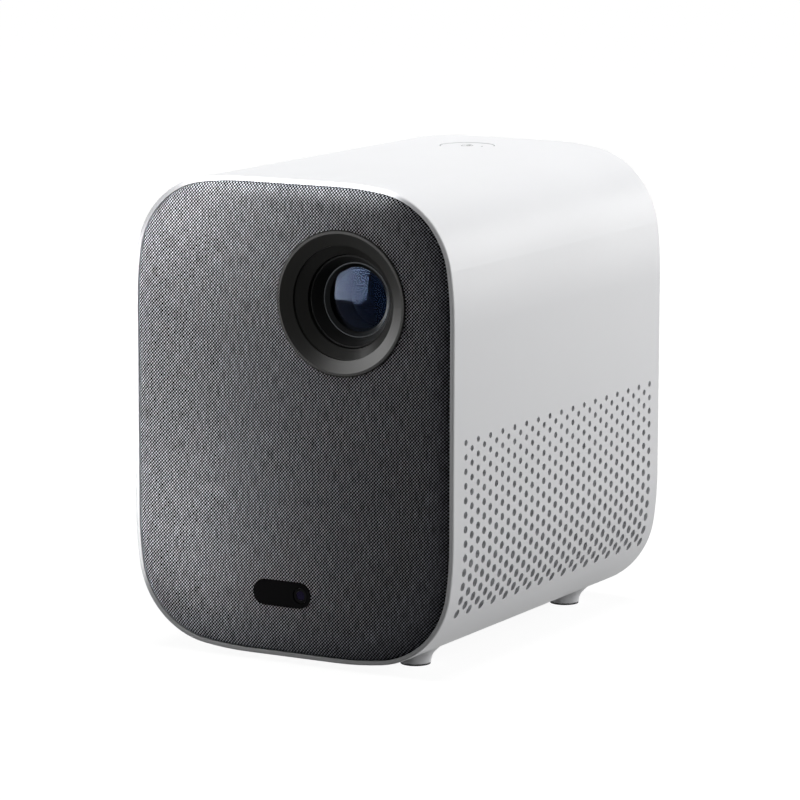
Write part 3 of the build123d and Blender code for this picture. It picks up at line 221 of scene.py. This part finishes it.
# Speakers: painted steel baskets, zinc plated magnets, pressed black cones and rubber surrounds.
# They sit on the back of the front panel, behind the cloth.
dress(moulded("basket_paint", (0.04, 0.04, 0.041), 0.45),
      "left_speaker_basket", "right_speaker_basket")
dress(worked_metal("zinc_plate", (0.5, 0.5, 0.52), 0.4), "left_speaker_magnet", "right_speaker_magnet")
dress(moulded("pressed_cone", (0.03, 0.03, 0.031), 0.75, 0.0012, 0.00008),
      "left_speaker_cone", "right_speaker_cone")
dress(moulded("surround_rubber", (0.018, 0.018, 0.018), 0.6),
      "left_speaker_surround", "right_speaker_surround")

# Sleeve: the white one-piece body tube of satin ABS, moulded with its round vents.
# The rear cover, the feet and the button cap are moulded in the same white.
white = (0.83, 0.835, 0.85)


def satin_white(name):
    """White ABS with a very fine satin grain and a soft gloss."""
    finish, tree, shader = start_finish(name, white, 0.42)
    shader.inputs["Specular IOR Level"].default_value = 0.4
    grain = speckle(tree, 0.00035)
    emboss(tree, shader, grain, 0.12, 0.00001)
    cloud = speckle(tree, 0.05, 1.0)
    shade(tree, shader, "Base Color", cloud, tint(white, 0.985), tint(white, 1.01))
    shade(tree, shader, "Roughness", cloud, 0.39, 0.45)
    return finish


dress(satin_white("satin_white"), "sleeve", "rear_cover", "feet", "power_button")

# Foot pads: thin die-cut black rubber discs stuck under the four feet.
# The brass tripod bush is pressed into the base between them.
dress(moulded("pad_rubber", (0.02, 0.02, 0.021), 0.8, 0.0006, 0.00005), "foot_pads")
dress(worked_metal("turned_brass", (0.72, 0.52, 0.22), 0.3, (1, 1, 0.1)), "tripod_insert")

# Front panel: a black moulded carrier whose tabs snap behind the sleeve's ledge.
# Only the turned edge of the cloth shows, as the cloth hides the panel's face.
dress(moulded("panel_black", (0.02, 0.02, 0.021), 0.55), "front_panel")

# Front cloth: a light and a black yarn in plain weave, stretched over the front panel,
# wrapped round its edge and glued behind, with cut-outs for the lens and the sensor window.
cloth_width = 0.1117
cloth_height = 0.1472
cloth_middle = 0.07725
cloth_lead_radius = 0.11155
cloth_lead_angle = math.radians(8.31)
cloth_corner_radius = 0.02671
cloth_face = -0.07285
cloth_back = -0.0683
cloth_turn = -0.0712
cloth_rows = ((0.00015, -0.0715), (0.00035, -0.07188), (0.0005, -0.07212), (0.001, -0.07241),
              (0.001, -0.0726), (0.001, -0.07271), (0.0015, -0.07281), (0.001, -0.07284),
              (0.0015, cloth_face), (0.0003, cloth_face))
cloth_thickness = 0.0005
lens_hole_segments = 128
pill_segments = 64
lens_centre = Vector((0.0185, 0, 0.11525))
cloth_lens_hole = 0.02162
window_centre = Vector((-0.0028, 0, 0.02235))
window_half_height = 0.0041
window_straight = 0.0062
cloth_window_gap = 0.00012
yarn_pitch = 0.00055
twill_share = 0.54
pale_yarn = (0.306, 0.318, 0.346)
black_yarn = (0.003, 0.003, 0.0034)
yarn_drift_scale = 120
yarn_drift = 0.5
crossing_low = 0.06
crossing_high = 0.24
strand_stretch = (1.0, 1, 0.12)
strand_dark = 0.55
strand_light = 1.45
weave_relief = 0.00012

cloth_bm = bmesh.new()
lead_reach = (cloth_lead_radius * (1 - math.cos(cloth_lead_angle) + math.sin(cloth_lead_angle))
              + cloth_corner_radius * (math.cos(cloth_lead_angle) - math.sin(cloth_lead_angle)))
corner = Vector((cloth_width / 2, cloth_back, cloth_height / 2))
into = Vector((math.cos(cloth_lead_angle), 0, math.sin(cloth_lead_angle)))
away = Vector((math.sin(cloth_lead_angle), 0, math.cos(cloth_lead_angle)))
first_centre = corner - Vector((cloth_lead_radius, 0, lead_reach))
corner_centre = first_centre + into * (cloth_lead_radius - cloth_corner_radius)
last_centre = corner_centre - away * (cloth_lead_radius - cloth_corner_radius)
seed = bmesh.ops.create_vert(cloth_bm, co=(cloth_width / 2, cloth_back, 0))["vert"][0]
grown = bmesh.ops.extrude_vert_indiv(cloth_bm, verts=[seed])["verts"]
bmesh.ops.translate(cloth_bm, verts=grown, vec=(0, 0, cloth_height / 2 - lead_reach))
for centre, turn, steps in ((first_centre, cloth_lead_angle, 6),
                            (corner_centre, math.pi / 2 - 2 * cloth_lead_angle, 28),
                            (last_centre, cloth_lead_angle, 6)):
    spun = bmesh.ops.spin(cloth_bm, geom=grown, cent=centre, axis=(0, -1, 0), angle=turn, steps=steps)
    grown = [item for item in spun["geom_last"] if isinstance(item, bmesh.types.BMVert)]
crown = bmesh.ops.extrude_vert_indiv(cloth_bm, verts=grown)["verts"]
bmesh.ops.translate(cloth_bm, verts=crown, vec=(-crown[0].co.x, 0, 0))
for axis in ("X", "Z"):
    bmesh.ops.mirror(cloth_bm, geom=cloth_bm.verts[:] + cloth_bm.edges[:], merge_dist=1e-5, axis=axis)
bmesh.ops.remove_doubles(cloth_bm, verts=cloth_bm.verts, dist=1e-6)
bmesh.ops.translate(cloth_bm, verts=cloth_bm.verts, vec=(0, 0, cloth_middle))
wall = bmesh.ops.extrude_edge_only(cloth_bm, edges=cloth_bm.edges[:])["geom"]
wall_verts = [item for item in wall if isinstance(item, bmesh.types.BMVert)]
wall_edges = [item for item in wall if isinstance(item, bmesh.types.BMEdge)]
bmesh.ops.translate(cloth_bm, verts=wall_verts, vec=(0, cloth_turn - cloth_back, 0))
front = bmesh.ops.edgeloop_fill(cloth_bm, edges=wall_edges)["faces"][0]
height = cloth_turn
for inset, y in cloth_rows:
    bmesh.ops.inset_region(cloth_bm, faces=[front], thickness=inset, use_even_offset=True, use_boundary=True)
    bmesh.ops.translate(cloth_bm, verts=front.verts[:], vec=(0, y - height, 0))
    height = y
rim = front.edges[:]
bmesh.ops.delete(cloth_bm, geom=[front], context="FACES_ONLY")
upright = Matrix.Rotation(math.radians(90), 4, "X")
hole = bmesh.ops.create_circle(cloth_bm, segments=lens_hole_segments, radius=cloth_lens_hole,
                               matrix=Matrix.Translation(lens_centre + Vector((0, cloth_face, 0))) @ upright)
rim += list({edge for vert in hole["verts"] for edge in vert.link_edges})
half_step = Matrix.Rotation(math.pi / pill_segments, 4, "Z")
pill_place = Matrix.Translation(window_centre + Vector((0, cloth_face, 0)))
pill = bmesh.ops.create_circle(cloth_bm, segments=pill_segments, radius=window_half_height + cloth_window_gap,
                               matrix=pill_place @ upright @ half_step)
for side in (-1, 1):
    end = [vert for vert in pill["verts"] if side * (vert.co.x - window_centre.x) > 0]
    bmesh.ops.translate(cloth_bm, verts=end, vec=(side * window_straight, 0, 0))
rim += list({edge for vert in pill["verts"] for edge in vert.link_edges})
bmesh.ops.triangle_fill(cloth_bm, use_beauty=True, edges=rim, normal=(0, -1, 0))
bmesh.ops.recalc_face_normals(cloth_bm, faces=cloth_bm.faces)
flat_face = max(cloth_bm.faces, key=lambda face: abs(face.normal.y) * face.calc_area())
if flat_face.normal.y > 0:
    bmesh.ops.reverse_faces(cloth_bm, faces=cloth_bm.faces)
for edge in cloth_bm.edges:
    edge.smooth = not edge.is_boundary


def woven_cloth(name):
    """Plain weave: pale warp over black weft in every other crossing, each yarn round and a little uneven."""
    finish, tree, shader = start_finish(name, pale_yarn, 0.85)
    shader.inputs["Specular IOR Level"].default_value = 0
    place = tree.nodes.new("ShaderNodeTexCoord")
    drift = tree.nodes.new("ShaderNodeTexNoise")
    drift.inputs["Scale"].default_value = yarn_drift_scale
    scale = tree.nodes.new("ShaderNodeMapping")
    scale.inputs["Scale"].default_value = (1 / yarn_pitch, 0, 1 / yarn_pitch)
    tree.links.new(place.outputs["Object"], drift.inputs["Vector"])
    tree.links.new(place.outputs["Object"], scale.inputs["Vector"])
    waver = tree.nodes.new("ShaderNodeVectorMath")
    waver.operation = "MULTIPLY_ADD"
    waver.inputs[1].default_value = (yarn_drift, 0, yarn_drift)
    tree.links.new(drift.outputs["Color"], waver.inputs[0])
    tree.links.new(scale.outputs["Vector"], waver.inputs[2])
    split = tree.nodes.new("ShaderNodeSeparateXYZ")
    tree.links.new(waver.outputs["Vector"], split.inputs["Vector"])

    def sum_of(operation, first, second=None):
        step = tree.nodes.new("ShaderNodeMath")
        step.operation = operation
        for index, value in enumerate((first, second)):
            if value is None:
                continue
            if isinstance(value, (int, float)):
                step.inputs[index].default_value = value
            else:
                tree.links.new(value, step.inputs[index])
        return step.outputs["Value"]

    across = split.outputs["X"]
    up = split.outputs["Z"]
    rise = sum_of("COSINE", sum_of("MULTIPLY", sum_of("SUBTRACT", across, up), math.pi))
    fall = sum_of("COSINE", sum_of("MULTIPLY", sum_of("ADD", across, up), math.pi))
    crossing = sum_of("SUBTRACT", sum_of("MULTIPLY", rise, twill_share),
                      sum_of("MULTIPLY", fall, 1 - twill_share))
    top = tree.nodes.new("ShaderNodeMapRange")
    top.interpolation_type = "SMOOTHSTEP"
    top.inputs["From Min"].default_value = crossing_low
    top.inputs["From Max"].default_value = crossing_high
    tree.links.new(crossing, top.inputs["Value"])
    strand = tree.nodes.new("ShaderNodeTexNoise")
    strand.inputs["Scale"].default_value = 1
    along = tree.nodes.new("ShaderNodeMapping")
    along.inputs["Scale"].default_value = strand_stretch
    tree.links.new(scale.outputs["Vector"], along.inputs["Vector"])
    tree.links.new(along.outputs["Vector"], strand.inputs["Vector"])
    tone = tree.nodes.new("ShaderNodeValToRGB")
    tone.color_ramp.elements[0].position = 0.3
    tone.color_ramp.elements[1].position = 0.7
    tone.color_ramp.elements[0].color = (*tint(pale_yarn, strand_dark), 1)
    tone.color_ramp.elements[1].color = (*tint(pale_yarn, strand_light), 1)
    tree.links.new(strand.outputs["Fac"], tone.inputs["Fac"])
    blend = tree.nodes.new("ShaderNodeMix")
    blend.data_type = "RGBA"
    blend.inputs["A"].default_value = (*black_yarn, 1)
    tree.links.new(top.outputs["Result"], blend.inputs["Factor"])
    tree.links.new(tone.outputs["Color"], blend.inputs["B"])
    tree.links.new(blend.outputs["Result"], shader.inputs["Base Color"])
    emboss(tree, shader, sum_of("POWER", sum_of("ABSOLUTE", crossing), 0.5), 0.5, weave_relief)
    return finish


cloth_mesh = bpy.data.meshes.new("front_cloth")
cloth_bm.to_mesh(cloth_mesh)
cloth_bm.free()
cloth_mesh.shade_smooth()
cloth_mesh.materials.append(woven_cloth("grey_weave"))
cloth = bpy.data.objects.new("front_cloth", cloth_mesh)
bpy.context.scene.collection.objects.link(cloth)
body_of_cloth = cloth.modifiers.new("thickness", "SOLIDIFY")
body_of_cloth.thickness = cloth_thickness
body_of_cloth.offset = -1
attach(cloth, "body")
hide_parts("front_fabric")

# Lens bezel: a stepped ring of dark warm grey plastic with a satin texture,
# pushed into the front panel so that its lip holds the edge of the cloth.
bezel_grey = (0.01, 0.0099, 0.0093)
dress(moulded("bezel_satin", bezel_grey, 0.32, 0.00025, 0.00001, gloss=0.056), "lens_bezel")

# Focus barrel: a matt black moulding that slides on the lens axis, with the front glass
# held in it by a thin turned ring. The tube that it slides in is the same black.
dress(moulded("barrel_black", (0.012, 0.012, 0.0122), 0.5, 0.0003, gloss=0.02), "focus_barrel", "lens_tube")
dress(worked_metal("ring_anodised", (0.006, 0.0064, 0.0068), 0.32), "retaining_ring")

# Front glass: polished, with a violet-blue coating; two more elements lie behind it.
# All three are set in the barrel and slide with it.
dress(polished_glass("coated_glass", (0.22, 0.32, 0.52), (0.036, 0.058, 0.118), 1.5), "front_lens")
inner_finish, inner_tree, inner_shader = start_finish("inner_glass", (0.002, 0.005, 0.009), 0.03)
inner_shader.inputs["IOR"].default_value = 1.5
inner_shader.inputs["Specular IOR Level"].default_value = 0.15
inner_shader.inputs["Specular Tint"].default_value = (0.25, 0.75, 0.9, 1)
shade(inner_tree, inner_shader, "Roughness", speckle(inner_tree, 0.004, 1.0), 0.02, 0.04)
dress(inner_finish, "rear_lenses")

# Sensor window: a gloss black pill of hard-coated acrylic glued into the cloth's cut-out,
# with the small camera showing through a hole at its right end.
window_finish, window_tree, window_shader = start_finish("window_gloss", (0.0015, 0.0015, 0.0018), 0.06)
window_shader.inputs["Specular IOR Level"].default_value = 0.03
shade(window_tree, window_shader, "Roughness", speckle(window_tree, 0.003, 1.0), 0.04, 0.08)
dress(window_finish, "sensor_window")
dress(moulded("camera_black", (0.004, 0.004, 0.0044), 0.35, gloss=0.05), "sensor_module")
dress(polished_glass("camera_glass", (0.03, 0.025, 0.06), (0.12, 0.09, 0.3), 1.5), "sensor_glass")

# Power button: the cap carries a printed power sign and a small light dot beside it.
# Both are thin matt black ink that stands on the cap and goes down with it.
cap_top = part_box("power_button")[1].z
cap_centre = Vector((0, 0.0425, cap_top))
sign_radius = 0.0019
sign_stroke = 0.0012
sign_height = 0.00003
sign_gap_half = math.radians(35)
sign_sweep = math.radians(290)
sign_steps = 40
dot_radius = 0.0003
dot_offset = 0.0055
sign_bm = bmesh.new()
profile = bmesh.ops.create_cube(sign_bm, size=1)["verts"]
bmesh.ops.scale(sign_bm, verts=profile, vec=(sign_stroke, 1e-7, sign_height))
bmesh.ops.remove_doubles(sign_bm, verts=sign_bm.verts, dist=2e-7)
bmesh.ops.delete(sign_bm, geom=[face for face in sign_bm.faces][1:], context="FACES_ONLY")
bmesh.ops.translate(sign_bm, verts=sign_bm.verts, vec=(0, sign_radius, 0))
bmesh.ops.rotate(sign_bm, verts=sign_bm.verts, matrix=Matrix.Rotation(sign_gap_half, 3, "Z"))
bmesh.ops.spin(sign_bm, geom=sign_bm.verts[:] + sign_bm.edges[:] + sign_bm.faces[:], axis=(0, 0, 1),
               angle=sign_sweep, steps=sign_steps)
bar = bmesh.ops.create_cube(sign_bm, size=1)["verts"]
bmesh.ops.scale(sign_bm, verts=bar, vec=(sign_stroke, sign_radius, sign_height))
bmesh.ops.translate(sign_bm, verts=bar, vec=(0, sign_radius * 0.75, 0))
dot = bmesh.ops.create_cone(sign_bm, cap_ends=True, segments=16, radius1=dot_radius, radius2=dot_radius,
                            depth=sign_height)
bmesh.ops.translate(sign_bm, verts=dot["verts"], vec=(dot_offset, 0, 0))
bmesh.ops.translate(sign_bm, verts=sign_bm.verts, vec=cap_centre + Vector((0, 0, sign_height / 2)))
bmesh.ops.recalc_face_normals(sign_bm, faces=sign_bm.faces)
sign_mesh = bpy.data.meshes.new("power_sign")
sign_bm.to_mesh(sign_mesh)
sign_bm.free()
sign_mesh.materials.append(moulded("sign_ink", (0.006, 0.006, 0.0064), 0.5, 0.0002, gloss=0.1))
sign = bpy.data.objects.new("power_sign", sign_mesh)
bpy.context.scene.collection.objects.link(sign)
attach(sign, "power_button")

# Studio: a pale floor that the camera sees as white but for the soft shadow, with soft boxes overhead,
# on both sides and behind. Small ones lie in front of the cloth's left and top edges, and a window
# shows only in reflections. The corner lamps and the window light only the front pieces.
scene = bpy.context.scene
scene.view_settings.view_transform = "Standard"
seen_white = 1.0
air_light = 0.0
floor_grey = (0.16, 0.16, 0.16)
floor_glow_near = 0.92
floor_glow_reach = 0.8


def seen_directly(tree):
    """1 for what the camera sees straight, in a reflection or through glass."""
    path = tree.nodes.new("ShaderNodeLightPath")
    seen = path.outputs["Is Camera Ray"]
    for kind in ("Is Glossy Ray", "Is Transmission Ray"):
        either = tree.nodes.new("ShaderNodeMath")
        either.operation = "MAXIMUM"
        tree.links.new(seen, either.inputs[0])
        tree.links.new(path.outputs[kind], either.inputs[1])
        seen = either.outputs["Value"]
    return seen


world = bpy.data.worlds.new("studio_air")
world.use_nodes = True
scene.world = world
air = world.node_tree.nodes["Background"]
air.inputs["Color"].default_value = (1, 1, 1, 1)
dim = world.node_tree.nodes.new("ShaderNodeMapRange")
dim.inputs["To Min"].default_value = air_light
dim.inputs["To Max"].default_value = seen_white
world.node_tree.links.new(seen_directly(world.node_tree), dim.inputs["Value"])
world.node_tree.links.new(dim.outputs["Result"], air.inputs["Strength"])

floor_bm = bmesh.new()
bmesh.ops.create_grid(floor_bm, x_segments=1, y_segments=1, size=4)
floor_mesh = bpy.data.meshes.new("studio_floor")
floor_bm.to_mesh(floor_mesh)
floor_bm.free()
floor = bpy.data.objects.new("studio_floor", floor_mesh)
scene.collection.objects.link(floor)
floor_finish, floor_tree, floor_shader = start_finish("floor_paper", floor_grey, 1)
floor_shader.inputs["Specular IOR Level"].default_value = 0
floor_place = floor_tree.nodes.new("ShaderNodeTexCoord")
floor_spread = floor_tree.nodes.new("ShaderNodeMapping")
floor_spread.inputs["Scale"].default_value = [1 / floor_glow_reach] * 3
floor_fade = floor_tree.nodes.new("ShaderNodeTexGradient")
floor_fade.gradient_type = "SPHERICAL"
floor_level = floor_tree.nodes.new("ShaderNodeMapRange")
floor_level.inputs["To Min"].default_value = seen_white
floor_level.inputs["To Max"].default_value = floor_glow_near
glow = floor_tree.nodes.new("ShaderNodeEmission")
both = floor_tree.nodes.new("ShaderNodeAddShader")
pick = floor_tree.nodes.new("ShaderNodeMixShader")
floor_tree.links.new(floor_place.outputs["Object"], floor_spread.inputs["Vector"])
floor_tree.links.new(floor_spread.outputs["Vector"], floor_fade.inputs["Vector"])
floor_tree.links.new(floor_fade.outputs["Fac"], floor_level.inputs["Value"])
floor_tree.links.new(floor_level.outputs["Result"], glow.inputs["Strength"])
floor_tree.links.new(floor_shader.outputs["BSDF"], both.inputs[0])
floor_tree.links.new(glow.outputs["Emission"], both.inputs[1])
floor_tree.links.new(seen_directly(floor_tree), pick.inputs["Fac"])
floor_tree.links.new(floor_shader.outputs["BSDF"], pick.inputs[1])
floor_tree.links.new(both.outputs["Shader"], pick.inputs[2])
floor_tree.links.new(pick.outputs["Shader"], floor_tree.nodes["Material Output"].inputs["Surface"])
floor_mesh.materials.append(floor_finish)


def soft_box(name, place, aim, width, height, power):
    """A rectangular studio light that faces a point and stays out of the picture."""
    lamp = bpy.data.lights.new(name, "AREA")
    lamp.shape = "RECTANGLE"
    lamp.size = width
    lamp.size_y = height
    lamp.energy = power
    lamp_object = bpy.data.objects.new(name, lamp)
    lamp_object.location = place
    lamp_object.rotation_euler = (Vector(aim) - Vector(place)).to_track_quat("-Z", "Y").to_euler()
    lamp_object.visible_camera = False
    scene.collection.objects.link(lamp_object)
    return lamp_object


body_aim = (0, 0, 0.08)
soft_box("overhead", place=(0, 0.05, 0.9), aim=(0, 0, 0.1), width=0.6, height=0.6, power=5.8)
soft_box("right_mid", place=(1.0, 0.06, 0.24), aim=body_aim, width=0.25, height=0.6, power=3.1)
soft_box("right_back", place=(0.6, 0.9, 0.25), aim=body_aim, width=0.6, height=0.6, power=5.0)
soft_box("left_side", place=(-1.0, 0.35, 0.4), aim=body_aim, width=0.6, height=0.6, power=4.0)
cloth_aim = (0, -0.073, 0.09)
edge_lamps = (
    soft_box("front_strip", place=(-0.056, -0.1, 0.08), aim=cloth_aim, width=0.006, height=0.1, power=0.03),
    soft_box("front_top", place=(-0.01, -0.1, 0.15), aim=cloth_aim, width=0.06, height=0.006, power=0.017),
    soft_box("edge_top", place=(0, -0.0759, 0.1512), aim=(0, -0.0728, 0.1505),
             width=0.074, height=0.002, power=0.0046),
    soft_box("edge_left", place=(-0.0565, -0.0765, 0.077), aim=(-0.0555, -0.0728, 0.077),
             width=0.002, height=0.11, power=0.0026))
corner_lamps = (
    soft_box("front_upper", place=(-0.056, -0.1, 0.15), aim=cloth_aim, width=0.01, height=0.01, power=0.034),
    soft_box("front_lower", place=(-0.056, -0.116, 0.02), aim=cloth_aim, width=0.01, height=0.01,
             power=0.038))
for near_lamp in edge_lamps + corner_lamps:
    near_lamp.visible_glossy = False
    near_lamp.visible_transmission = False
front_lit = bpy.data.collections.new("front_lit")
front_lit.objects.link(cloth)
for name in ("lens_bezel", "focus_barrel", "retaining_ring", "front_lens", "sensor_window", "sensor_glass"):
    front_lit.objects.link(cad[name])
window = soft_box("left_window", place=(-0.3866, -0.4085, 0.262), aim=(0.0185, -0.0628, 0.115),
                  width=0.57, height=0.5, power=21.8)
window.visible_diffuse = False
window.visible_transmission = False
for front_lamp in corner_lamps + (window,):
    front_lamp.light_linking.receiver_collection = front_lit

# Camera: a long lens at the photograph's viewing angle, its place and turn fitted to the picture.
camera_azimuth = math.radians(29.267)
camera_elevation = math.radians(9.531)
camera_roll = math.radians(0.109)
camera_place = Vector((0.6461, -1.1555, 0.29555))
view = bpy.data.cameras.new("view")
view.sensor_width = 36
view.lens = 185.93
camera = bpy.data.objects.new("view", view)
camera.matrix_world = (Matrix.Translation(camera_place) @ Matrix.Rotation(camera_azimuth, 4, "Z")
                       @ Matrix.Rotation(math.radians(90) - camera_elevation, 4, "X")
                       @ Matrix.Rotation(camera_roll, 4, "Z"))
scene.collection.objects.link(camera)
scene.camera = camera

bpy.context.view_layer.update()
